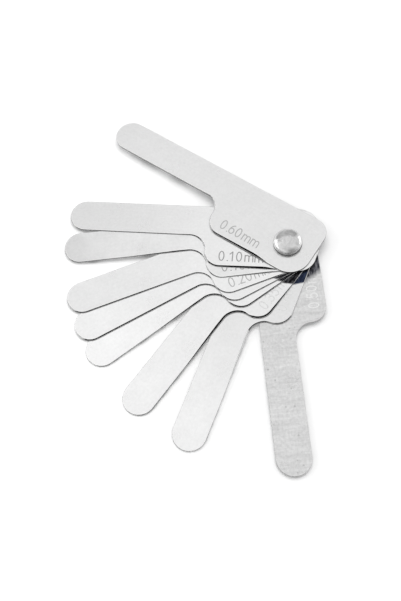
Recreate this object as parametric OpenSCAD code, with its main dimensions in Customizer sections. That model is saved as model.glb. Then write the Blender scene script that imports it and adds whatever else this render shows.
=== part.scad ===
// Feeler gauge: nine steel leaves that fan out on one binding post and screw.
// Millimetres, +Z up. The origin is on the pivot axis, at the underside of the screw
// head that the gauge rests on. Every leaf shares one outline and differs in thickness.

/* [Leaf outline] */
// Overall length of a leaf, from its root end to its tip
leaf_l = 97.5; // [85:0.5:120]
// Width of the measuring blade
blade_w = 12.7; // [10:0.1:16]
// Width of the root
root_w = 25.4; // [22:0.1:32]
// Distance from the pivot axis to the step where the root meets the blade
step_x = 31.75; // [26:0.25:40]
// Distance from the pivot axis to the root end, and to the root's step-side edge
pivot_inset = 11; // [9:0.1:12]
// Radius of the two corners at the root end
corner_r = 4.75; // [2:0.05:6]

/* [Leaf thicknesses, top leaf first] */
// Thickness of the top leaf
t_060 = 0.60; // [0.55:0.01:0.80]
// Thickness of the second leaf
t_010 = 0.10; // [0.08:0.01:0.12]
// Thickness of the third leaf
t_015 = 0.15; // [0.12:0.01:0.18]
// Thickness of the fourth leaf
t_020 = 0.20; // [0.16:0.01:0.24]
// Thickness of the fifth leaf
t_025 = 0.25; // [0.20:0.01:0.30]
// Thickness of the sixth leaf
t_030 = 0.30; // [0.25:0.01:0.35]
// Thickness of the seventh leaf
t_035 = 0.35; // [0.30:0.01:0.40]
// Thickness of the eighth leaf
t_040 = 0.40; // [0.35:0.01:0.45]
// Thickness of the bottom leaf
t_050 = 0.50; // [0.45:0.01:0.55]

/* [Leaf directions in the fan, degrees counterclockwise from +X] */
// Direction of the top leaf
angle_060 = 131.0; // [120:0.1:150]
// Direction of the second leaf
angle_010 = 159.3; // [150:0.1:165]
// Direction of the third leaf
angle_015 = 169.2; // [165:0.1:180]
// Direction of the fourth leaf
angle_020 = 184.2; // [180:0.1:190]
// Direction of the fifth leaf
angle_025 = 192.5; // [190:0.1:198]
// Direction of the sixth leaf
angle_030 = 200.4; // [198:0.1:210]
// Direction of the seventh leaf
angle_035 = 217.2; // [210:0.1:225]
// Direction of the eighth leaf
angle_040 = 233.2; // [225:0.1:245]
// Direction of the bottom leaf
angle_050 = 260.0; // [245:0.1:280]

/* [Pivot post] */
// Diameter of the domed head
head_d = 11; // [9:0.1:14]
// Height of the head's straight rim
rim_h = 0.7; // [0.4:0.05:1.2]
// Radius of the rolled shoulder between the rim and the crown
shoulder_r = 1.8; // [1:0.05:2.4]
// Radius of the crown of the head
crown_r = 11; // [9:0.1:16]
// Diameter of the barrel that the leaves turn on
barrel_d = 5; // [4.4:0.1:6.5]

/* [Pivot screw] */
// Diameter of the screw head
screw_head_d = 11; // [9:0.1:14]
// Thickness of the screw head
screw_head_h = 1.4; // [1.2:0.05:2.5]
// Chamfer round the outer edge of the screw head
screw_edge = 0.4; // [0.1:0.05:0.6]
// Diameter of the screw's threaded shank
thread_d = 3; // [2.5:0.1:3.5]
// Length of the shank from the screw head to its end
thread_l = 4; // [3:0.1:4.5]
// Width of the screwdriver slot
slot_w = 1.2; // [0.8:0.1:1.6]
// Length of the screwdriver slot
slot_l = 7.5; // [5:0.1:8]
// Depth of the screwdriver slot
slot_depth = 0.7; // [0.4:0.05:0.9]

/* [Clearances] */
// Free gap between one leaf and the next, and at each end of the pack
leaf_play = 0.03; // [0.02:0.01:0.06]
// Radial running clearance between the barrel and the hole of a leaf
barrel_play = 0.05; // [0.02:0.01:0.09]
// Radial clearance between the shank and the bore of the barrel
thread_play = 0.02; // [0.01:0.01:0.04]
// Clearance between the end of the shank and the end of the bore
bore_end_play = 0.4; // [0.2:0.1:0.6]

/* [Hidden] */
$fn = 96;
// How far a cut runs on past the face that it opens
overrun = 0.5;

steel = [0.87, 0.875, 0.88];
plated_steel = [0.78, 0.785, 0.79];

// Thickness and direction of each leaf, from the top of the pack down
LEAVES = [
    [t_060, angle_060],
    [t_010, angle_010],
    [t_015, angle_015],
    [t_020, angle_020],
    [t_025, angle_025],
    [t_030, angle_030],
    [t_035, angle_035],
    [t_040, angle_040],
    [t_050, angle_050],
];

// Height of the underside of leaf i: the leaves below it carry it
function leaf_z(i) = i == len(LEAVES) - 1
    ? screw_head_h + leaf_play
    : leaf_z(i + 1) + LEAVES[i + 1][0] + leaf_play;

// Heights of the head's underside and of the middle of its crown's sphere
head_z = leaf_z(0) + LEAVES[0][0] + leaf_play;
head_r = head_d / 2;
crown_z = rim_h - sqrt(pow(crown_r - shoulder_r, 2) - pow(head_r - shoulder_r, 2));

// Leaf outline, with the pivot at the origin and the blade along +X
straight_y = pivot_inset - root_w;   // the long straight edge
blade_y = straight_y + blade_w;      // the blade's inner edge
tip_r = blade_w / 2;
tip_x = leaf_l - pivot_inset - tip_r;
step_r = (root_w - blade_w) / 2;     // the step is two quarter arcs, one each way

// The waste outside a rounded corner that lies at the origin, with the plate at -X -Y
module corner_waste(r) {
    translate([-r, -r])
        difference() {
            square(2 * r);
            circle(r = r);
        }
}

module leaf_outline() {
    difference() {
        union() {
            translate([-pivot_inset, straight_y])
                square([pivot_inset + step_x, root_w]);
            translate([0, straight_y])
                square([tip_x, blade_w]);
            translate([tip_x, straight_y + tip_r])
                circle(r = tip_r);
            // stock for the hollow arc of the step
            translate([0, straight_y])
                square([step_x + step_r, blade_w + step_r]);
        }
        // hollow arc of the step, which opens towards the tip
        translate([step_x + step_r, blade_y + step_r])
            circle(r = step_r);
        // round arc of the step
        translate([step_x, pivot_inset])
            corner_waste(step_r);
        // two corners of the root end
        translate([-pivot_inset, pivot_inset])
            rotate(90)
                corner_waste(corner_r);
        translate([-pivot_inset, straight_y])
            rotate(180)
                corner_waste(corner_r);
        circle(d = barrel_d + 2 * barrel_play);
    }
}

// Leaf i of the pack, counted from the top
module leaf(i) {
    color(steel)
        translate([0, 0, leaf_z(i)])
            rotate(LEAVES[i][1])
                linear_extrude(LEAVES[i][0])
                    leaf_outline();
}

// Half section of the domed head: rim, rolled shoulder and crown, each tangent to the next
module head_section() {
    shoulder_x = head_r - shoulder_r;
    square([head_r, rim_h]);
    translate([shoulder_x, rim_h])
        intersection() {
            circle(r = shoulder_r);
            square(2 * shoulder_r);
        }
    intersection() {
        translate([0, crown_z])
            circle(r = crown_r);
        // the crown ends on the line through both arcs' centres
        polygon([
            [0, 0],
            [shoulder_x, 0],
            [shoulder_x, rim_h],
            [2 * shoulder_x, 2 * rim_h - crown_z],
            [0, 2 * rim_h - crown_z],
        ]);
    }
}

// Domed head on top, with the hollow barrel that runs down through the leaves
module pivot_post() {
    bore_h = thread_l + bore_end_play;
    color(plated_steel)
        difference() {
            union() {
                translate([0, 0, head_z])
                    rotate_extrude()
                        head_section();
                translate([0, 0, screw_head_h])
                    cylinder(d = barrel_d, h = head_z - screw_head_h + rim_h / 2);
            }
            translate([0, 0, screw_head_h - overrun])
                cylinder(d = thread_d + 2 * thread_play, h = overrun + bore_h);
        }
}

// Screw from below: a flat head with a closed slot, and the shank in the barrel
module pivot_screw() {
    r = screw_head_d / 2;
    color(plated_steel)
        difference() {
            union() {
                rotate_extrude()
                    polygon([
                        [0, 0],
                        [r - screw_edge, 0],
                        [r, screw_edge],
                        [r, screw_head_h],
                        [0, screw_head_h],
                    ]);
                cylinder(d = thread_d, h = screw_head_h + thread_l);
            }
            translate([0, 0, -overrun])
                linear_extrude(overrun + slot_depth)
                    slot_outline();
        }
}

// Slot with round ends
module slot_outline() {
    middle = slot_l - slot_w;
    square([middle, slot_w], center = true);
    for (side = [-1, 1])
        translate([side * middle / 2, 0])
            circle(d = slot_w);
}

for (i = [0 : len(LEAVES) - 1])
    leaf(i);
pivot_post();
pivot_screw();
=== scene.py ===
import math

import bmesh
import bpy
import numpy as np
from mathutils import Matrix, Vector
from mathutils.geometry import delaunay_2d_cdt


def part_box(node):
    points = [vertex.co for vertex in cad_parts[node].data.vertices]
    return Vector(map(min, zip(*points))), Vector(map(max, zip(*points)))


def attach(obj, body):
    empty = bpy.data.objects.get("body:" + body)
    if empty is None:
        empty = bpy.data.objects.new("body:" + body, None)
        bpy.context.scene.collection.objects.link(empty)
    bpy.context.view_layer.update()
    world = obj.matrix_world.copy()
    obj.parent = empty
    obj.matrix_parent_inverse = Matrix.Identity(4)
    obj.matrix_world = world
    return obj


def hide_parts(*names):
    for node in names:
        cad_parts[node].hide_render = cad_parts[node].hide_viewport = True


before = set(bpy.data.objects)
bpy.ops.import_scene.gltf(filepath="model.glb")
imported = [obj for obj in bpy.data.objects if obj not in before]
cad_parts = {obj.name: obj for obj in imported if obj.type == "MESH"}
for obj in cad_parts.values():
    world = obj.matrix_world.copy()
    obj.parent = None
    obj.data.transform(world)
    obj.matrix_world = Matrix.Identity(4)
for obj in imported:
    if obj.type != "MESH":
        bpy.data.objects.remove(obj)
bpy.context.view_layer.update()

# Feeler gauge: nine steel leaves, each with its size etched on it, fanned out on a
# domed binding post and its screw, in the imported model's frame. Shapes are given in mm;
# the scene, its noises and its shader lengths are in metres.

mm = 0.001
scene = bpy.context.scene
print("frame loaded:", len(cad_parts), "nodes")


camera = {
    "place": (-37.817, -118.792, 268.707),  # mm
    "tilt": 0.3804,   # radians from straight down, towards +Y
    "roll": -0.2796,
    "lens": 45.677,   # mm
    "sensor": 36,     # mm
    "shift": (-0.0005, 0.0016),
}


def addCamera(c):
    data = bpy.data.cameras.new("camera")
    data.lens = c["lens"]
    data.shift_x, data.shift_y = c["shift"]
    data.sensor_width = c["sensor"]
    data.clip_start = 0.01
    cam = bpy.data.objects.new("camera", data)
    cam.location = Vector(c["place"]) * mm
    cam.rotation_mode = "ZYX"
    cam.rotation_euler = (c["tilt"], 0, c["roll"])
    scene.collection.objects.link(cam)
    scene.camera = cam


addCamera(camera)


def arcPoints(centre, radius, start, end, steps):
    # centre plus radius times (cos a, sin a), with a running evenly from start to end degrees
    a = np.radians(np.linspace(start, end, steps + 1))
    spoke = np.stack([np.cos(a), np.sin(a)], 1)
    return np.array(centre) + radius * spoke, spoke


leafShape = {  # mm, leaf along +X, pivot at the origin
    "length": 97.5,
    "bladeWidth": 12.7,
    "rootWidth": 25.4,
    "stepFromPivot": 31.75,
    "pivotInset": 11.0,
    "straightStep": 2.0,  # the longest stretch of a straight edge between two points
    "farCorner": 6.2,    # radii; the step-side corner wears rounder
    "stepCorner": 8.4,
    "holeRadius": 2.55,
    "tipSteps": 96,
    "stepSteps": 40,
    "cornerSteps": 24,
    "holeSteps": 48,
}


def leafOutline(s):
    # counterclockwise: root corner, tip semicircle, hollow arc and round arc of the step,
    # other root corner; straight edges join the arcs, which all meet them tangentially
    straightY = s["pivotInset"] - s["rootWidth"]
    bladeY = straightY + s["bladeWidth"]
    tipRadius = s["bladeWidth"] / 2
    tipX = s["length"] - s["pivotInset"] - tipRadius
    stepRadius = (s["rootWidth"] - s["bladeWidth"]) / 2
    inset, far, near = s["pivotInset"], s["farCorner"], s["stepCorner"]
    arcs = [
        arcPoints((far - inset, straightY + far), far, 180, 270, s["cornerSteps"]),
        arcPoints((tipX, straightY + tipRadius), tipRadius, -90, 90, s["tipSteps"]),
        arcPoints((s["stepFromPivot"] + stepRadius, bladeY + stepRadius),
                  stepRadius, 270, 180, s["stepSteps"]),
        arcPoints((s["stepFromPivot"] - stepRadius, s["pivotInset"] - stepRadius),
                  stepRadius, 0, 90, s["stepSteps"]),
        arcPoints((near - inset, inset - near), near, 90, 180, s["cornerSteps"]),
    ]
    hollow = 2  # the one arc whose spokes point into the steel
    points = [p for p, _ in arcs]
    normals = [-n if i == hollow else n for i, (_, n) in enumerate(arcs)]
    points[hollow], normals[hollow] = points[hollow][:-1], normals[hollow][:-1]
    points, normals = np.concatenate(points), np.concatenate(normals)
    # each long edge is cut into equal parts, with points evenly between its two ends
    length = np.linalg.norm(np.roll(points, -1, axis=0) - points, axis=1)
    parts = np.maximum(1, np.ceil(length / s["straightStep"])).astype(int)
    start = np.repeat(np.arange(len(points)), parts)
    end = (start + 1) % len(points)
    past = (np.arange(len(start)) - np.repeat(np.cumsum(parts) - parts, parts)) / parts[start]
    past = past[:, None]
    return (points[start] * (1 - past) + points[end] * past,
            normals[start] * (1 - past) + normals[end] * past)


markShape = {
    "height": 3.75,      # mm
    "stroke": 0.42,      # mm
    "start": 25.7,       # mm from the pivot
    "baseline": 8.4,     # mm from the pivot towards the step-side edge
    "depth": 0.012,      # mm
    "capSteps": 6,
}

# widths of the letters with the gap after them, in units of the figures' height
glyphWidth = {".": 0.28, "m": 1.02}
figureWidth = 0.76


def bow(x, y, rx, ry, start, end, steps=14):
    # part of an oval round (x, y) with half axes rx, ry
    a = np.radians(np.linspace(start, end, steps + 1))
    return np.stack([x + rx * np.cos(a), y + ry * np.sin(a)], 1)


def line(*points):
    # a straight stroke through the given points
    return np.array(points, float)


glyphStrokes = {  # a plain single-stroke hand, in units of the figures' height
    "0": [bow(0.25, 0.5, 0.25, 0.5, -95, 95, 20), bow(0.25, 0.5, 0.25, 0.5, 85, 275, 20)],
    "1": [line((0.34, 0), (0.34, 1)), line((0.34, 1), (0.06, 0.74))],
    "2": [bow(0.25, 0.74, 0.24, 0.26, 165, -38), line((0.44, 0.58), (0.02, 0)),
          line((0.02, 0), (0.5, 0))],
    "3": [bow(0.23, 0.76, 0.22, 0.24, 150, -90), bow(0.23, 0.26, 0.26, 0.26, 90, -150)],
    "4": [line((0.38, 0), (0.38, 1)), line((0.38, 1), (0, 0.3)), line((0, 0.3), (0.52, 0.3))],
    "5": [line((0.45, 1), (0.1, 1)), line((0.1, 1), (0.04, 0.52)),
          bow(0.23, 0.32, 0.26, 0.32, 138, -148)],
    "6": [bow(0.25, 0.3, 0.25, 0.3, -95, 95), bow(0.25, 0.3, 0.25, 0.3, 85, 275),
          bow(0.5, 0.32, 0.5, 0.68, 180, 105)],
    ".": [line((0.1, 0.0), (0.15, 0.0))],
    "m": [line((0.1, 0), (0.1, 0.68)), bow(0.3, 0.46, 0.2, 0.22, 180, 0),
          line((0.5, 0.46), (0.5, 0)), bow(0.7, 0.46, 0.2, 0.22, 180, 0),
          line((0.9, 0.46), (0.9, 0))],
}


def strokeLoop(path, width, capSteps):
    # the path moved half a width to each side along its normals, closed by round ends
    along = np.gradient(path, axis=0)
    along /= np.linalg.norm(along, axis=1)[:, None]
    side = np.stack([along[:, 1], -along[:, 0]], 1) * width / 2
    heading = np.degrees(np.arctan2(along[:, 1], along[:, 0]))
    endCap, _ = arcPoints(path[-1], width / 2, heading[-1] - 90, heading[-1] + 90, capSteps)
    startCap, _ = arcPoints(path[0], width / 2, heading[0] + 90, heading[0] + 270, capSteps)
    return np.concatenate([path + side, endCap[1:-1], (path - side)[::-1], startCap[1:-1]])


def markLoops(text, shift):
    # the text runs from the step back towards the pivot, its feet towards the step-side edge
    m = markShape
    loops, pen = [], 0.0
    for letter in text:
        for path in glyphStrokes[letter]:
            loop = strokeLoop((path + (pen, 0)) * m["height"], m["stroke"], m["capSteps"])
            loops.append(np.array([m["start"], m["baseline"]]) + shift - loop)
        pen += glyphWidth.get(letter, figureWidth)
    return loops


def capTriangles(outer, holes, pockets):
    # a flat region cut into triangles that keep every loop's edges; the mask marks the
    # triangles that lie inside a pocket loop
    loops = [outer] + holes + pockets
    points = [Vector(p) for p in np.concatenate(loops)]
    ends = np.cumsum([len(loop) for loop in loops])
    faces = [list(range(end - len(loop), end)) for loop, end in zip(loops, ends)]
    insideOnly, nearest, withSources = 1, 1e-6, True
    verts, _, tris, _, _, inside = delaunay_2d_cdt(
        points, [], faces, insideOnly, nearest, withSources)
    holeIds = set(range(1, 1 + len(holes)))
    kept = [(t, ids) for t, ids in zip(tris, inside) if 0 in ids and not holeIds & set(ids)]
    flat = np.array([(v.x, v.y) for v in verts])
    corners = np.array([t for t, _ in kept])
    mask = np.array([max(ids) > len(holes) for _, ids in kept])
    return flat, corners, mask


def sinkPockets(corners, mask, count):
    # pocket triangles move to a second, lowered copy of the points, and a wall of quads
    # joins the two along every edge that a pocket triangle shares with the face round it
    edges = corners[:, [0, 1, 1, 2, 2, 0]].reshape(-1, 2)
    owner = np.repeat(mask, 3)
    face = {tuple(e) for e in edges[~owner][:, ::-1].tolist()}
    rim = np.array([e for e in edges[owner].tolist() if tuple(e) in face], int).reshape(-1, 2)
    walls = np.stack([rim[:, 0], rim[:, 1], rim[:, 1] + count, rim[:, 0] + count], 1)
    return corners[~mask], corners[mask] + count, walls


weldDistance = 0.5e-6  # metres


class MeshParts:
    # gathers blocks of points and faces; the blocks' shared edges are merged at the end
    def __init__(self):
        self.points, self.faces, self.smooth, self.slots = [], [], [], []
        self.values = {"sideMask": [], "rimMask": []}
        self.leans = []
        self.count = 0

    def add(self, points, faces, smooth, slot=0, side=0.0, rim=0.0, lean=(0.0, 0.0, 0.0)):
        self.points.append(points)
        self.faces += (faces + self.count).tolist()
        self.smooth += [smooth] * len(faces)
        self.slots += [slot] * len(faces)
        self.values["sideMask"].append(np.broadcast_to(side, len(points)))
        self.values["rimMask"].append(np.broadcast_to(rim, len(points)))
        self.leans.append(np.broadcast_to(lean, (len(points), 3)))
        self.count += len(points)

    def extend(self, faces, smooth, slot=0):
        # more faces on the points that were added last
        start = self.count - len(self.points[-1])
        self.faces += (faces + start).tolist()
        self.smooth += [smooth] * len(faces)
        self.slots += [slot] * len(faces)

    def build(self, name, materials):
        mesh = bpy.data.meshes.new(name)
        mesh.from_pydata(np.concatenate(self.points), [], self.faces)
        mesh.polygons.foreach_set("use_smooth", self.smooth)
        mesh.polygons.foreach_set("material_index", self.slots)
        for key, blocks in self.values.items():
            layer = mesh.attributes.new(key, "FLOAT", "POINT")
            layer.data.foreach_set("value", np.concatenate(blocks).astype(np.float32))
        layer = mesh.attributes.new("lean", "FLOAT_VECTOR", "POINT")
        layer.data.foreach_set("vector", np.concatenate(self.leans).astype(np.float32).ravel())
        for material in materials:
            mesh.materials.append(material)
        mesh.validate()
        piece = bpy.data.objects.new(name, mesh)
        scene.collection.objects.link(piece)
        shell = bmesh.new()
        shell.from_mesh(mesh)
        bmesh.ops.remove_doubles(shell, verts=shell.verts, dist=weldDistance)
        openEdges = [e for e in shell.edges if len(e.link_faces) != 2]
        print(name, "faces", len(shell.faces), "open edges", len(openEdges))
        shell.to_mesh(mesh)
        shell.free()
        return piece


def ringFaces(rings, length):
    # quads between each ring and the next, counterclockwise seen from outside
    i = np.arange(length)
    j = np.roll(i, -1)
    low = (np.arange(rings - 1) * length)[:, None]
    quads = np.stack([low + i, low + j, low + j + length, low + i + length], -1)
    return quads.reshape(-1, 4)


def newGroup(name, inputs, outputs):
    # an empty shader group with its sockets: inputs have a label, a kind and a value
    group = bpy.data.node_groups.new(name, "ShaderNodeTree")
    for label, kind, value in inputs:
        socket = group.interface.new_socket(label, in_out="INPUT", socket_type=kind)
        if value is not None:
            socket.default_value = value
    for label, kind in outputs:
        group.interface.new_socket(label, in_out="OUTPUT", socket_type=kind)
    return group, group.nodes.new("NodeGroupInput"), group.nodes.new("NodeGroupOutput")


def place(tree, group, **values):
    # the group as a node of this tree, with its own values
    node = tree.nodes.new("ShaderNodeGroup")
    node.node_tree = group
    for key, value in values.items():
        node.inputs[key].default_value = value
    return node


def calc(tree, kind, a, b=None, c=None, clamp=False):
    # a Math node; plain numbers go straight onto its sockets
    node = tree.nodes.new("ShaderNodeMath")
    node.operation = kind
    node.use_clamp = clamp
    for i, value in enumerate((a, b, c)):
        if value is None:
            continue
        if isinstance(value, (int, float)):
            node.inputs[i].default_value = value
        else:
            tree.links.new(value, node.inputs[i])
    return node.outputs[0]


def remap(tree, value, low, high, toLow=0.0, toHigh=1.0, smooth=False):
    # low..high carried over to toLow..toHigh, and held at both ends
    node = tree.nodes.new("ShaderNodeMapRange")
    node.interpolation_type = "SMOOTHSTEP" if smooth else "LINEAR"
    tree.links.new(value, node.inputs[0])
    for i, v in enumerate((low, high, toLow, toHigh)):
        node.inputs[i + 1].default_value = v
    return node.outputs[0]


def vectorMath(tree, kind, a, b=None):
    node = tree.nodes.new("ShaderNodeVectorMath")
    node.operation = kind
    tree.links.new(a, node.inputs[0])
    if b is not None:
        tree.links.new(b, node.inputs[1])
    return node


def stretched(tree, vector, factors):
    # each coordinate times its own factor, so a small one draws a pattern out
    node = vectorMath(tree, "MULTIPLY", vector)
    node.inputs[1].default_value = factors
    return node.outputs[0]


def noise(tree, vector, scale, detail=2.0, roughness=0.5, distortion=0.0):
    node = tree.nodes.new("ShaderNodeTexNoise")
    node.inputs["Scale"].default_value = scale
    node.inputs["Detail"].default_value = detail
    node.inputs["Roughness"].default_value = roughness
    node.inputs["Distortion"].default_value = distortion
    tree.links.new(vector, node.inputs["Vector"])
    return node.outputs["Fac"]


def specks(tree, vector, s):
    # one dot in each cell, solid in its core; only the cells whose random share is over
    # keptFrom show theirs, and the stronger the higher it is
    node = tree.nodes.new("ShaderNodeTexVoronoi")
    node.inputs["Scale"].default_value = s["scale"]
    tree.links.new(vector, node.inputs["Vector"])
    split = tree.nodes.new("ShaderNodeSeparateColor")
    tree.links.new(node.outputs["Color"], split.inputs[0])
    dot = remap(tree, node.outputs["Distance"], s["radius"], s["core"], smooth=True)
    kept = remap(tree, split.outputs[0], s["keptFrom"], 1.0)
    return calc(tree, "MULTIPLY", dot, kept)


def mixColour(tree, factor, a, b):
    # from a to b as the factor goes from 0 to 1
    node = tree.nodes.new("ShaderNodeMix")
    node.data_type = "RGBA"
    for index, value in ((0, factor), (6, a), (7, b)):
        if isinstance(value, (int, float, tuple)):
            node.inputs[index].default_value = value
        else:
            tree.links.new(value, node.inputs[index])
    return node.outputs[2]


def grey(value):
    return (value, value, value, 1)


brushNoise = {  # stretch along and across the leaf; scale, detail and roughness
    "Along": ((0.08, 1.0, 1.0), 1500, 3, 0.65),
    "Across": ((1.0, 0.12, 1.0), 900, 4, 0.75),
    "Grit": ((1.0, 1.0, 1.0), 1000, 2, 0.6),
    "Cloud": ((1.0, 1.0, 1.0), 90, 3, 0.55),
}
pitCells = {"scale": 480, "radius": 0.24, "core": 0.096, "keptFrom": 0.5}
noiseSpan = (0.3, 0.7)  # where most of a noise's values lie


def makeBrushGroup():
    # ground finish: fine streaks along the leaf, coarser ones across it, and a slow cloud
    group, gin, gout = newGroup(
        "brushedGrain", [("Vector", "NodeSocketVector", None)],
        [(output, "NodeSocketFloat") for output in (*brushNoise, "Pits")])
    v = gin.outputs["Vector"]
    for output, (stretch, *values) in brushNoise.items():
        grain = noise(group, stretched(group, v, stretch), *values)
        group.links.new(grain, gout.inputs[output])
    group.links.new(specks(group, v, pitCells), gout.inputs["Pits"])
    return group


shadowPatchShape = {  # metres
    "wander": 0.0016,        # how far the disc's edge strays
    "wanderNoise": (260, 3),
    "edge": 0.0108,          # towards the step side, where the painted shadow ends
    "edgeBlur": 0.0001,      # to each side of that line
    "fromBlur": 0.0004,      # and to each side of the From line
    "tintStretch": (0.3, 1.0, 1.0),
    "tintNoise": (1100, 4, 0.7),
    "tintSpan": (0.42, 0.68),
}


def makeShadowPatchGroup():
    # painted shadow round the pivot: a dark disc with a wandering edge, kept off the leaf's rim
    # and off everything behind the From line
    f = shadowPatchShape
    group, gin, gout = newGroup(
        "paintedShadow",
        [("Vector", "NodeSocketVector", None), ("Radius", "NodeSocketFloat", None),
         ("Edge", "NodeSocketFloat", f["edge"]), ("From", "NodeSocketFloat", None),
         ("Fade", "NodeSocketFloat", None)],
        [("Mask", "NodeSocketFloat"), ("Tint", "NodeSocketFloat")])
    v = gin.outputs["Vector"]
    length = vectorMath(group, "LENGTH", stretched(group, v, (1, 1, 0)))
    wander = noise(group, v, *f["wanderNoise"])
    reach = calc(group, "MULTIPLY_ADD", wander, f["wander"], length.outputs["Value"])
    over = calc(group, "SUBTRACT", reach, gin.outputs["Radius"])
    disc = calc(group, "DIVIDE", over, gin.outputs["Fade"])
    disc = calc(group, "SUBTRACT", 1.0, disc, clamp=True)
    split = group.nodes.new("ShaderNodeSeparateXYZ")
    group.links.new(v, split.inputs[0])
    past = calc(group, "SUBTRACT", split.outputs["Y"], gin.outputs["Edge"])
    inside = remap(group, past, f["edgeBlur"], -f["edgeBlur"])
    ahead = calc(group, "SUBTRACT", split.outputs["X"], gin.outputs["From"])
    ahead = remap(group, ahead, -f["fromBlur"], f["fromBlur"])
    mask = calc(group, "MULTIPLY", calc(group, "MULTIPLY", disc, inside), ahead)
    tint = noise(group, stretched(group, v, f["tintStretch"]), *f["tintNoise"])
    group.links.new(mask, gout.inputs["Mask"])
    group.links.new(tint, gout.inputs["Tint"])
    return group


brushGroup = makeBrushGroup()
shadowPatchGroup = makeShadowPatchGroup()


def newMaterial(name):
    material = bpy.data.materials.new(name)
    material.use_nodes = True
    tree = material.node_tree
    tree.nodes.clear()
    shader = tree.nodes.new("ShaderNodeBsdfPrincipled")
    out = tree.nodes.new("ShaderNodeOutputMaterial")
    tree.links.new(shader.outputs[0], out.inputs[0])
    return material, tree, shader


def leafVector(tree, angle):
    # object coordinates turned back by the leaf's direction, so +X runs along the leaf
    coords = tree.nodes.new("ShaderNodeTexCoord")
    turn = tree.nodes.new("ShaderNodeMapping")
    turn.inputs["Rotation"].default_value = (0, 0, -math.radians(angle))
    tree.links.new(coords.outputs["Object"], turn.inputs["Vector"])
    return turn.outputs["Vector"]


def greyOf(tree, value):
    # a colour with the same value in all three channels
    colour = tree.nodes.new("ShaderNodeCombineColor")
    for channel in range(3):
        tree.links.new(value, colour.inputs[channel])
    return colour.outputs[0]


def addBump(tree, shader, height, strength, distance, normal=None):
    bump = tree.nodes.new("ShaderNodeBump")
    bump.inputs["Strength"].default_value = strength
    bump.inputs["Distance"].default_value = distance
    tree.links.new(height, bump.inputs["Height"])
    if normal is not None:
        tree.links.new(normal, bump.inputs["Normal"])
    tree.links.new(bump.outputs[0], shader.inputs["Normal"])


def attribute(tree, name):
    node = tree.nodes.new("ShaderNodeAttribute")
    node.attribute_name = name
    return node.outputs["Fac"]


finish = {
    "roughness": 0.30,
    "roughSwing": (-0.04, 0.05),  # how far the cloud moves it down and up
    "along": 0.030,       # how far the grain along the leaf lightens and darkens it
    "across": 0.020,
    "grit": 0.07,
    "cloud": 0.060,
    "pits": 0.03,
    "side": 0.05,         # the sheared side and rolled edge: dark with scale, and painted shade of the gap under the edge
    "rim": 0.95,          # the burnished band inside the edge
    "burnish": 0.4,       # and how much of it shows
    "bump": 0.15,
    "bumpDepth": 0.00002,  # metres
    "dressGloss": 0.10,   # roughness of the dressed band, which starts where the lean's
    "dressFrom": 0.05,    # length is over this
    "toneSpan": (0.012, 0.082),  # metres from the pivot, where rootTone turns to tipTone
}


def leaned(tree):
    # the surface normal plus the dressed band's own outward vector, and that vector's length
    own = tree.nodes.new("ShaderNodeAttribute")
    own.attribute_name = "lean"
    turn = tree.nodes.new("ShaderNodeVectorTransform")
    turn.vector_type = "VECTOR"
    turn.convert_from, turn.convert_to = "OBJECT", "WORLD"
    tree.links.new(own.outputs["Vector"], turn.inputs[0])
    surface = tree.nodes.new("ShaderNodeNewGeometry")
    total = vectorMath(tree, "ADD", surface.outputs["Normal"], turn.outputs[0])
    unit = vectorMath(tree, "NORMALIZE", total.outputs[0])
    return unit.outputs[0], vectorMath(tree, "LENGTH", own.outputs["Vector"]).outputs["Value"]


def leafSteel(leaf):
    # tone from pivot to tip, partly painted light, times the grain; then burnished rim, dark side
    # with painted shade, and painted shadow
    f = {**finish, **leaf.get("finish", {})}
    material, tree, shader = newMaterial("steel_" + leaf["node"])
    vector = leafVector(tree, leaf["angle"])
    brush = place(tree, brushGroup)
    tree.links.new(vector, brush.inputs["Vector"])
    split = tree.nodes.new("ShaderNodeSeparateXYZ")
    tree.links.new(vector, split.inputs[0])
    start, end = f["toneSpan"]
    # each leaf's own tone, and partly painted light: how a slightly bent leaf reflects, along it
    # and from leaf to leaf
    tone = remap(tree, split.outputs["X"], start, end, leaf["rootTone"], leaf["tipTone"], True)
    for output in ("Along", "Across", "Grit", "Cloud"):
        swing = calc(tree, "SUBTRACT", brush.outputs[output], 0.5)
        factor = calc(tree, "MULTIPLY_ADD", swing, 2 * f[output.lower()], 1.0)
        tone = calc(tree, "MULTIPLY", tone, factor)
    pits = calc(tree, "MULTIPLY", brush.outputs["Pits"], f["pits"])
    tone = calc(tree, "SUBTRACT", tone, pits)
    burnish = calc(tree, "MULTIPLY", attribute(tree, "rimMask"), f["burnish"])
    base = mixColour(tree, burnish, greyOf(tree, tone), grey(f["rim"]))
    # painted shade: the side, the rolled edge and the hole's wall go dark, for scale and for the
    # shade of the gap under the edge
    base = mixColour(tree, attribute(tree, "sideMask"), base, grey(f["side"]))
    # painted shadow beside the pivot, on the leaves that have one
    base = underPaintedShadow(tree, vector, base, leaf)
    down, up = f["roughSwing"]
    rough = remap(tree, brush.outputs["Cloud"], *noiseSpan, f["roughness"] + down,
                  f["roughness"] + up)
    lean, amount = leaned(tree)
    stoned = calc(tree, "GREATER_THAN", amount, f["dressFrom"])
    glossDrop = calc(tree, "SUBTRACT", f["dressGloss"], rough)
    rough = calc(tree, "MULTIPLY_ADD", stoned, glossDrop, rough)
    tree.links.new(base, shader.inputs["Base Color"])
    tree.links.new(rough, shader.inputs["Roughness"])
    shader.inputs["Metallic"].default_value = 1.0
    addBump(tree, shader, brush.outputs["Along"], f["bump"], f["bumpDepth"], lean)
    return material


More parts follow.
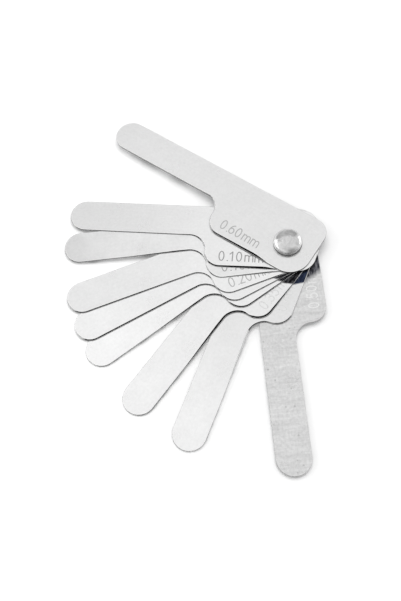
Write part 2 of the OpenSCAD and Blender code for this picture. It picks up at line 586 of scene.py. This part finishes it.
def underPaintedShadow(tree, vector, base, leaf):
    # the base colour under the leaf's painted shadow, where it has one
    if "shadowPatch" not in leaf:
        return base
    f = leaf["shadowPatch"]
    shadowPatch = place(tree, shadowPatchGroup, Radius=f["radius"], From=f["from"], Fade=f["fade"])
    tree.links.new(vector, shadowPatch.inputs["Vector"])
    tint = remap(tree, shadowPatch.outputs["Tint"], *shadowPatchShape["tintSpan"])
    shadowColour = mixColour(tree, tint, f["dark"], f["light"])
    return mixColour(tree, shadowPatch.outputs["Mask"], base, shadowColour)


etch = {
    "tone": 0.42,
    "mottle": 0.15,
    "grain": (5000, 3, 0.6),  # scale, detail and roughness of the noise
    "roughness": (0.5, 0.7),
    "metal": 0.8,
    "bump": 0.4,
    "bumpDepth": 0.00001,  # metres
}


def etchedSteel(leaf):
    # the floor of the marks: matt and speckled by the acid
    material, tree, shader = newMaterial("etched_" + leaf["node"])
    vector = leafVector(tree, leaf["angle"])
    bite = noise(tree, vector, *etch["grain"])
    tone = leaf.get("markTone", etch["tone"])
    tone = remap(tree, bite, *noiseSpan, tone * (1 - etch["mottle"]), tone * (1 + etch["mottle"]))
    # the same painted shadow over the marks
    base = underPaintedShadow(tree, vector, greyOf(tree, tone), leaf)
    tree.links.new(base, shader.inputs["Base Color"])
    shader.inputs["Metallic"].default_value = etch["metal"]
    rough = remap(tree, bite, *noiseSpan, *etch["roughness"])
    tree.links.new(rough, shader.inputs["Roughness"])
    addBump(tree, shader, bite, etch["bump"], etch["bumpDepth"])
    return material


polish = {
    "wornHighlight": 0.92,        # painted highlight: colour of the rubbed spots and of the shoulder
    "highlightShare": 0.6,    # and how much of it shows
    "wornRough": 0.34,   # what the rubbing adds to the roughness
    "creviceShade": 0.08,     # painted shade: colour of the crevice and of its mirror image
    # edge glint kept where shade and dark reflection are painted
    "glint": 0.1,
    "cloud": (3, 0.55, 0.6),   # detail, roughness and distortion of the noise
    "glossSwing": (0.8, 1.3),  # shares of the roughness, as the cloud goes
    "bump": 0.15,
    "bumpDepth": 0.00005,  # metres
}


def polishedSteel(name, tone, roughness, scale, mottle):
    # turned steel, clouded by handling, with painted shade in its underside and crevice, a
    # painted dark reflection and painted highlights
    material, tree, shader = newMaterial(name)
    coords = tree.nodes.new("ShaderNodeTexCoord")
    cloud = noise(tree, coords.outputs["Object"], scale, *polish["cloud"])
    value = remap(tree, cloud, *noiseSpan, tone * (1 - mottle), tone * (1 + mottle))
    rubbedSheen, dark = attribute(tree, "rimMask"), attribute(tree, "sideMask")
    # painted highlight: the rubbed dents and the shoulder take a lighter colour
    wornHighlight = calc(tree, "MULTIPLY", rubbedSheen, polish["highlightShare"])
    base = mixColour(tree, wornHighlight, greyOf(tree, value), grey(polish["wornHighlight"]))
    # painted shade in the crevice and painted dark reflection on the crown, both with their edge
    # glint dimmed
    base = mixColour(tree, dark, base, grey(polish["creviceShade"]))
    glint = mixColour(tree, dark, grey(1.0), grey(polish["glint"]))
    tree.links.new(base, shader.inputs["Base Color"])
    tree.links.new(glint, shader.inputs["Specular Tint"])
    shader.inputs["Metallic"].default_value = 1.0
    least, most = polish["glossSwing"]
    gloss = remap(tree, cloud, *noiseSpan, roughness * least, roughness * most)
    rough = calc(tree, "MULTIPLY_ADD", rubbedSheen, polish["wornRough"], gloss)
    tree.links.new(rough, shader.inputs["Roughness"])
    addBump(tree, shader, cloud, polish["bump"], polish["bumpDepth"])
    return material


edgeShape = {  # mm
    "skin": 0.01,          # the dressed leaf lies this far inside the plain solid's sides
    "rollWidth": 0.14,     # the top edge rolls over by this much inwards
    "rollShare": 0.6,      # and by this share of the thickness downwards, up to rollMost
    "rollMost": 0.12,
    "rollDrop": 0.6,       # how much narrower it is along the step side
    "underWidth": 0.03,    # bevel round the underside, at most underShare of the thickness
    "underShare": 0.2,
    "underBow": 0.3,       # share of that bevel, in both directions, at its middle point
    "holeBevel": 0.02,
    "lock": 0.02,          # narrow flat rings that keep one band's shading off the next
    "dressAt": (2, 8, 26, 42, 60),  # where along the leaf no band and its four widths hold
    "dressFacing": (-0.25, 0.35),  # the edge normal's share across, from no band to full width
    "dressLeast": 0.01,    # a narrower band doesn't lean
    "dressTilt": 50,       # degrees that the band dressed with a fine stone leans outwards
    "rimWidth": 0.35,      # burnished band inside that
    "rollSteps": 6,
}

shadowTone = {  # darkest and lightest colour of the painted shadow
    "black": {"dark": (0.003, 0.003, 0.004, 1), "light": (0.10, 0.10, 0.11, 1)},
    "blue": {"dark": (0.012, 0.016, 0.033, 1), "light": (0.035, 0.05, 0.09, 1)},
    "grey": {"dark": (0.025, 0.027, 0.034, 1), "light": (0.22, 0.22, 0.24, 1)},
}


def paintedShadow(tone, radius, start=-0.03, fade=0.0006):
    # a painted shadow round the pivot: a disc's radius, how far along the leaf it starts and how
    # wide it fades out, in metres
    return {**shadowTone[tone], "radius": radius, "from": start, "fade": fade}


leaves = [  # angles in degrees from +X; the tones are partly painted light, the dark patch by the pivot a painted shadow
    {"node": "leaf_060", "mark": "0.60mm", "angle": 131.0, "rootTone": 0.78, "tipTone": 0.84,
     "markTone": 0.47, "markShift": (0.3, -0.5), "dressWidths": (0.76, 0.42, 0.08, 0.05)},
    {"node": "leaf_010", "mark": "0.10mm", "angle": 159.3, "rootTone": 0.85, "tipTone": 0.75,
     "markTone": 0.36, "markShift": (0, -0.15), "dressWidths": (0.96, 0.6, 0.24, 0.24),
     "shape": {"stepCorner": 6.8}},
    {"node": "leaf_015", "mark": "0.15mm", "angle": 169.2, "rootTone": 0.81, "tipTone": 0.68,
     "dressWidths": (0.36, 0.18, 0.54, 0.2),
     "finish": {"cloud": 0.14, "toneSpan": (0.058, 0.092)}},
    {"node": "leaf_020", "mark": "0.20mm", "angle": 184.2, "rootTone": 0.86, "tipTone": 0.80,
     "markTone": 0.50, "markShift": (0.5, 0.3), "dressWidths": (0.34, 0.28, 0.36, 0.4)},
    {"node": "leaf_025", "mark": "0.25mm", "angle": 192.5, "rootTone": 0.83, "tipTone": 0.87,
     "markShift": (0, -1.8), "shadowPatch": paintedShadow("black", 0.0152, -0.001),
     "dressWidths": (0.2, 0.32, 0.48, 0.48)},
    {"node": "leaf_030", "mark": "0.30mm", "angle": 200.4, "rootTone": 0.84, "tipTone": 0.92,
     "markShift": (0, -1.8), "shadowPatch": paintedShadow("black", 0.0156, -0.001),
     "dressWidths": (0.24, 0.5, 0.56, 0.16)},
    {"node": "leaf_035", "mark": "0.35mm", "angle": 217.2, "rootTone": 0.82, "tipTone": 0.88,
     "markTone": 0.70, "markShift": (0.4, 0.5), "shadowPatch": paintedShadow("black", 0.0164),
     "dressWidths": (0.02, 0.66, 0.74, 0.18)},
    {"node": "leaf_040", "mark": "0.40mm", "angle": 233.2, "rootTone": 0.76, "tipTone": 0.88,
     "markTone": 0.74, "shadowPatch": paintedShadow("blue", 0.0168), "dressWidths": (0.02, 0.28, 0.54, 0.02),
     "rollWidth": 0.16, "finish": {"burnish": 0.0, "side": 0.12}},
    {"node": "leaf_050", "mark": "0.50mm", "angle": 260.0, "rootTone": 0.67, "tipTone": 0.68,
     "markTone": 0.81, "markShift": (0.5, -0.1), "shadowPatch": paintedShadow("grey", 0.0154, fade=0.0022),
     "dressWidths": (0.02, 0.02, 0.02, 0.02), "dressTilt": 3, "rollWidth": 0.16,
     "finish": {"along": 0.06, "across": 0.26, "grit": 0.22, "pits": 0.24, "side": 0.25,
                "burnish": 0.0}},
]


def turned(points, angle):
    # plane points turned about the pivot by angle degrees
    c, s = math.cos(math.radians(angle)), math.sin(math.radians(angle))
    return points @ np.array([[c, s], [-s, c]])


def raised(points, height):
    # plane points in mm at a height, as points in metres
    return np.column_stack([points, np.broadcast_to(height, len(points))]) * mm


def buildLeaf(leaf):
    # rings of the outline at growing insets make the side, the rolled edge and the two flat
    # bands; the rest of both faces is cut into triangles
    low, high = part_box(leaf["node"])
    z0, z1 = low.z / mm, high.z / mm
    thick = z1 - z0
    e = edgeShape
    rollHeight = min(e["rollShare"] * thick, e["rollMost"])
    under = min(e["underWidth"], thick * e["underShare"])
    outline, normals = leafOutline({**leafShape, **leaf.get("shape", {})})
    hole, holeSpokes = arcPoints((0, 0), leafShape["holeRadius"], 0, -360, leafShape["holeSteps"])
    hole, holeSpokes = hole[:-1], holeSpokes[:-1]

    def spun(points):
        return turned(points, leaf["angle"])

    # edge profile from the underside to the flat top: (inset, height, side mask, the share
    # painted dark for scale and shade)
    skin = e["skin"]
    facing = e["dressFacing"]
    share = np.clip((normals[:, 1:] - facing[0]) / (facing[1] - facing[0]), 0, 1)
    rollWidth = leaf.get("rollWidth", e["rollWidth"]) * (1 - e["rollDrop"] * share)
    middle = under * e["underBow"]
    profile = [(skin + under, 0, 1), (skin + middle, middle, 1), (skin, under, 1)]
    for a in np.radians(np.linspace(0, 90, e["rollSteps"] + 1)):
        inset = skin + rollWidth * (1 - math.cos(a))
        height = thick - rollHeight * (1 - math.sin(a))
        profile.append((inset, height, math.cos(a)))
    flatStart = skin + rollWidth + e["lock"]
    profile.append((flatStart, thick, 0))
    parts = MeshParts()

    def band(loop, outward, steps):
        rings = [raised(spun(loop - outward * inset), z0 + height) for inset, height, _ in steps]
        side = np.repeat([s for _, _, s in steps], len(loop))
        parts.add(np.concatenate(rings), ringFaces(len(steps), len(loop)), True, side=side)

    band(outline, normals, profile)
    bevel = e["holeBevel"]
    # the hole's wall takes the same dark side colour, painted shade
    holeProfile = [(bevel, 0, 1), (0, bevel, 1), (0, thick - bevel, 1), (bevel, thick, 0)]
    band(hole, -holeSpokes, holeProfile)

    # dressed band, then burnished band: both flat. Only the step side is dressed: there the
    # band's shading leans outwards, and the band narrows to nothing round the tip and the root
    dressWidth = share * np.interp(outline[:, :1], e["dressAt"], (0,) + leaf["dressWidths"])
    tilt = math.radians(leaf.get("dressTilt", e["dressTilt"]))
    reach = (dressWidth > e["dressLeast"]) * math.tan(tilt)
    lean = np.column_stack([spun(normals) * reach, np.zeros(len(normals))])
    level = np.zeros_like(lean)
    insets = [flatStart, flatStart + e["lock"], flatStart + e["lock"] + dressWidth]
    insets += [insets[-1] + e["lock"], insets[-1] + e["lock"] + e["rimWidth"]]
    rings = [outline - normals * inset for inset in insets]
    parts.add(np.concatenate([raised(spun(ring), z1) for ring in rings]),
              ringFaces(len(rings), len(outline)), True,
              rim=np.repeat((0, 0, 0, 1, 0), len(outline)),
              lean=np.concatenate([level, lean, lean, level, level]))
    innerRim = rings[-1]

    # top face with the etched mark
    holeTop = (hole + holeSpokes * bevel)[::-1]
    shift = np.array(leaf.get("markShift", (0, 0)))
    flat, corners, mask = capTriangles(innerRim, [holeTop], markLoops(leaf["mark"], shift))
    face, floor, walls = sinkPockets(corners, mask, len(flat))
    stacked = np.concatenate([raised(spun(flat), z1),
                              raised(spun(flat), z1 - markShape["depth"])])
    parts.add(stacked, face, False)
    parts.extend(floor, False, 1)
    parts.extend(walls, False, 1)

    # underside
    flat, corners, _ = capTriangles(outline - normals * (skin + under), [holeTop], [])
    parts.add(raised(spun(flat), z0), corners[:, ::-1], False)

    piece = parts.build(leaf["node"] + "_steel", [leafSteel(leaf), etchedSteel(leaf)])
    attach(piece, leaf["node"])
    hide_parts(leaf["node"])


for leaf in leaves:
    buildLeaf(leaf)
print("leaves made:", len(leaves))


postShape = {  # mm
    "rimHeight": 0.7,
    "shoulderRadius": 1.8,
    "crownRadius": 11.0,
    "barrelRadius": 2.5,
    "boreRadius": 1.52,
    "boreDepth": 4.4,
    "turnSteps": 128,
    "leafPlay": 0.03,      # between the top leaf and the head
    "skirtBevel": 0.05,
    "shoulderSteps": 14,
    "crownSteps": 39,
    "creviceAngle": 0.40,  # radians up from the horizontal, below which the rim has painted shade
    "creviceFade": 0.3,
    "sheenAngle": 0.72,    # and about which the shoulder is rubbed satin and given a painted highlight
    "sheenWidth": 0.25,
    "highlightDepths": (0.012, 0.018),  # of the dents, from none to full rubbing and painted highlight
}

crownDents = [  # where the crown was peened: x, y, width, depth in mm
    (-1.95, 0.35, 1.1, 0.018), (1.25, 0.9, 0.9, 0.016), (0.4, -1.2, 1.2, 0.012),
    (2.0, 0.2, 0.9, 0.014), (-0.6, 2.2, 1.0, 0.012), (-2.2, -1.9, 0.9, 0.012),
    (1.9, -2.2, 1.0, 0.010), (-0.3, 0.4, 0.7, 0.010),
]
# painted dark reflection low on the crown's -Y side: middle and reach in mm, and how dark
crownDarkReflection = {"middle": (0.2, -4.6), "reach": (2.0, 0.8), "dark": 0.60}  # mm


def revolve(profile, steps):
    # profile points (radius, height) turned about the Z axis; the points of a pole fall
    # together, and MeshParts merges them
    a = np.linspace(0, 2 * math.pi, steps, endpoint=False)
    r, z = profile[:, 0][:, None], profile[:, 1][:, None]
    ring = np.stack([r * np.cos(a), r * np.sin(a), z + 0 * a], -1)
    return ring.reshape(-1, 3), ringFaces(len(profile), steps)


def dentField(points):
    # the sum of round dents, each a Gaussian of its own width and depth
    drop = np.zeros(len(points))
    for x, y, width, depth in crownDents:
        away = (points[:, 0] - x) ** 2 + (points[:, 1] - y) ** 2
        drop += depth * np.exp(-away / (2 * (width / 2) ** 2))
    return drop


def buildPost():
    # bore, barrel and underside of the head, then the shoulder's arc, then the crown's arc,
    # all turned about Z; the dents are taken off the crown's height
    p = postShape
    low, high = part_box("pivot_post")
    headRadius = (high.x - low.x) / 2 / mm
    top, bottom = high.z / mm, low.z / mm
    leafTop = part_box("leaf_060")[1].z / mm + p["leafPlay"]
    shoulderX = headRadius - p["shoulderRadius"]
    shoulderZ = leafTop + p["rimHeight"]
    crownZ = top - p["crownRadius"]
    slope = math.atan2(shoulderX, shoulderZ - crownZ)
    up = np.linspace(0, math.pi / 2 - slope, p["shoulderSteps"] + 1)
    shoulder = np.stack([shoulderX + p["shoulderRadius"] * np.cos(up),
                         shoulderZ + p["shoulderRadius"] * np.sin(up)], 1)
    down = np.linspace(slope, 0, p["crownSteps"] + 1)[1:]
    crown = np.stack([p["crownRadius"] * np.sin(down),
                      crownZ + p["crownRadius"] * np.cos(down)], 1)
    boreTop = bottom + p["boreDepth"]
    skirt = np.array([
        (0, boreTop), (p["boreRadius"], boreTop), (p["boreRadius"], bottom),
        (p["barrelRadius"], bottom), (p["barrelRadius"], leafTop),
        (headRadius - p["skirtBevel"], leafTop), (headRadius, leafTop + p["skirtBevel"])])
    profile = np.concatenate([skirt, shoulder, crown])
    points, faces = revolve(profile, p["turnSteps"])
    crownPart = points[:, 2] > shoulderZ + p["shoulderRadius"] / 2
    drop = np.where(crownPart, dentField(points), 0)
    points[:, 2] -= drop
    # deeper dents: rubbed rougher, with a painted highlight
    shallow, deep = p["highlightDepths"]
    wornHighlight = np.clip((drop - shallow) / (deep - shallow), 0, 1)
    slopes = np.concatenate([np.full(len(skirt), 0.0), up, np.full(len(crown), math.pi / 2)])
    # painted shade on the rim below the crevice angle
    creviceShade = np.clip((p["creviceAngle"] - slopes) / p["creviceFade"], 0, 1)
    creviceShade[:len(skirt)] = 0
    # shoulder band: rubbed satin, with a painted highlight
    satinSheen = np.exp(-((slopes - p["sheenAngle"]) / p["sheenWidth"]) ** 2)
    # painted dark reflection on the crown
    away = (points[:, :2] - crownDarkReflection["middle"]) / crownDarkReflection["reach"]
    darkReflection = crownPart * crownDarkReflection["dark"] * np.exp(-(away ** 2).sum(1))
    dark = np.maximum(np.repeat(creviceShade, p["turnSteps"]), darkReflection)
    rubbedSheen = np.maximum(wornHighlight, np.repeat(satinSheen, p["turnSteps"]))
    parts = MeshParts()
    parts.add(points * mm, faces, True, side=dark, rim=rubbedSheen)
    steel = polishedSteel("polished_post", tone=0.60, roughness=0.16, scale=420, mottle=0.22)
    piece = parts.build("pivot_post_head", [steel])
    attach(piece, "pivot")
    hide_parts("pivot_post")


buildPost()
screwSteel = polishedSteel("polished_screw", tone=0.62, roughness=0.22, scale=500, mottle=0.12)
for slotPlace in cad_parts["pivot_screw"].material_slots:
    slotPlace.material = screwSteel
print("post and screw made")


studio = {  # metres and degrees; azimuths from +X, elevations from the leaves' plane
    "floorSize": 0.6,
    "floorTilt": 2.04,        # the gauge lies on its screw head and two leaf tips
    "floorTiltAxis": (0.0667, 0.9978, 0),
    "floorPlace": (-0.0051, 0.0002, -0.00002),  # a point of it, by the screw head's edge
    "floorColour": 0.92,
    "sky": 0.62,
    "cardRadius": 0.9,
    "cardSteps": (24, 16),
}

cards = {  # from and to azimuth, from and to tilt from the zenith, grey
    "black_card": ((150, 328), (66, 90), 0.01),
    "grey_card": ((40, 140), (42, 72), 0.8),
}

lamps = {  # azimuth, elevation, distance, size, watts, seen in reflections
    "key_lamp": (65, 69, 1.0, (0.8, 0.8), 5.8, False),
    "left_lamp": (152, 32, 0.8, (0.6, 0.42), 1.35, True),
    "right_lamp": (12, 27, 0.8, (0.45, 0.26), 0.6, True),
}


def floorPaper(s):
    # matt paper with the shadows, plain white in reflections, clear from below
    material = bpy.data.materials.new("floor_paper")
    material.use_nodes = True
    tree = material.node_tree
    tree.nodes.clear()
    paper = tree.nodes.new("ShaderNodeBsdfDiffuse")
    paper.inputs["Color"].default_value = grey(s["floorColour"])
    white = tree.nodes.new("ShaderNodeEmission")
    rays = tree.nodes.new("ShaderNodeLightPath")
    mirrored = tree.nodes.new("ShaderNodeMixShader")
    tree.links.new(rays.outputs["Is Glossy Ray"], mirrored.inputs[0])
    tree.links.new(paper.outputs[0], mirrored.inputs[1])
    tree.links.new(white.outputs[0], mirrored.inputs[2])
    clear = tree.nodes.new("ShaderNodeBsdfTransparent")
    side = tree.nodes.new("ShaderNodeNewGeometry")
    below = tree.nodes.new("ShaderNodeMixShader")
    tree.links.new(side.outputs["Backfacing"], below.inputs[0])
    tree.links.new(mirrored.outputs[0], below.inputs[1])
    tree.links.new(clear.outputs[0], below.inputs[2])
    out = tree.nodes.new("ShaderNodeOutputMaterial")
    tree.links.new(below.outputs[0], out.inputs[0])
    return material


def addFloor(s):
    half = s["floorSize"] / 2
    corners = np.array([(-half, -half, 0), (half, -half, 0), (half, half, 0), (-half, half, 0)])
    mesh = bpy.data.meshes.new("floor")
    mesh.from_pydata(corners, [], [(0, 1, 2, 3)])
    mesh.materials.append(floorPaper(s))
    floor = bpy.data.objects.new("floor", mesh)
    floor.rotation_mode = "AXIS_ANGLE"
    floor.rotation_axis_angle = (math.radians(s["floorTilt"]), *s["floorTiltAxis"])
    floor.location = s["floorPlace"]
    scene.collection.objects.link(floor)


def addCard(s, name, azimuths, tilts, value):
    # a bent card, part of a sphere round the pivot; only reflections see it
    wide, high = s["cardSteps"]
    a = np.radians(np.linspace(*azimuths, wide + 1))[None, :]
    t = np.radians(np.linspace(*tilts, high + 1))[:, None]
    grid = np.stack([np.sin(t) * np.cos(a), np.sin(t) * np.sin(a), np.cos(t) + 0 * a], -1)
    i = np.arange(wide)[None, :] + (wide + 1) * np.arange(high)[:, None]
    quads = np.stack([i, i + 1, i + wide + 2, i + wide + 1], -1).reshape(-1, 4)
    mesh = bpy.data.meshes.new(name)
    mesh.from_pydata((grid * s["cardRadius"]).reshape(-1, 3), [], quads.tolist())
    material = bpy.data.materials.new(name)
    material.use_nodes = True
    shader = material.node_tree.nodes["Principled BSDF"]
    shader.inputs["Base Color"].default_value = grey(value)
    shader.inputs["Roughness"].default_value = 1.0
    shader.inputs["Specular IOR Level"].default_value = 0.0
    mesh.materials.append(material)
    card = bpy.data.objects.new(name, mesh)
    scene.collection.objects.link(card)
    card.visible_camera = False
    card.visible_diffuse = False
    card.visible_shadow = False


def addLamp(name, azimuth, elevation, distance, size, energy, glossy):
    # on a sphere round the pivot, and turned to face it
    data = bpy.data.lights.new(name, "AREA")
    data.shape = "RECTANGLE"
    data.size, data.size_y = size
    data.energy = energy
    lamp = bpy.data.objects.new(name, data)
    a, e = math.radians(azimuth), math.radians(elevation)
    way = Vector((math.cos(e) * math.cos(a), math.cos(e) * math.sin(a), math.sin(e)))
    lamp.location = way * distance
    lamp.rotation_mode = "QUATERNION"
    lamp.rotation_quaternion = way.to_track_quat("Z", "Y")
    lamp.visible_glossy = glossy
    scene.collection.objects.link(lamp)


def addWorld(s):
    # white to the eye and in reflections; a little less than that as light
    world = bpy.data.worlds.new("studio")
    world.use_nodes = True
    tree = world.node_tree
    rays = tree.nodes.new("ShaderNodeLightPath")
    seen = calc(tree, "MAXIMUM", rays.outputs["Is Camera Ray"], rays.outputs["Is Glossy Ray"])
    seen = calc(tree, "MAXIMUM", seen, rays.outputs["Is Transmission Ray"])
    strength = remap(tree, seen, 0, 1, s["sky"], 1.0)
    tree.links.new(strength, tree.nodes["Background"].inputs["Strength"])
    tree.nodes["Background"].inputs["Color"].default_value = (1, 1, 1, 1)
    scene.world = world


addFloor(studio)
for name, values in cards.items():
    addCard(studio, name, *values)
for name, values in lamps.items():
    addLamp(name, *values)
addWorld(studio)
scene.view_settings.view_transform = "Standard"
print("studio made")
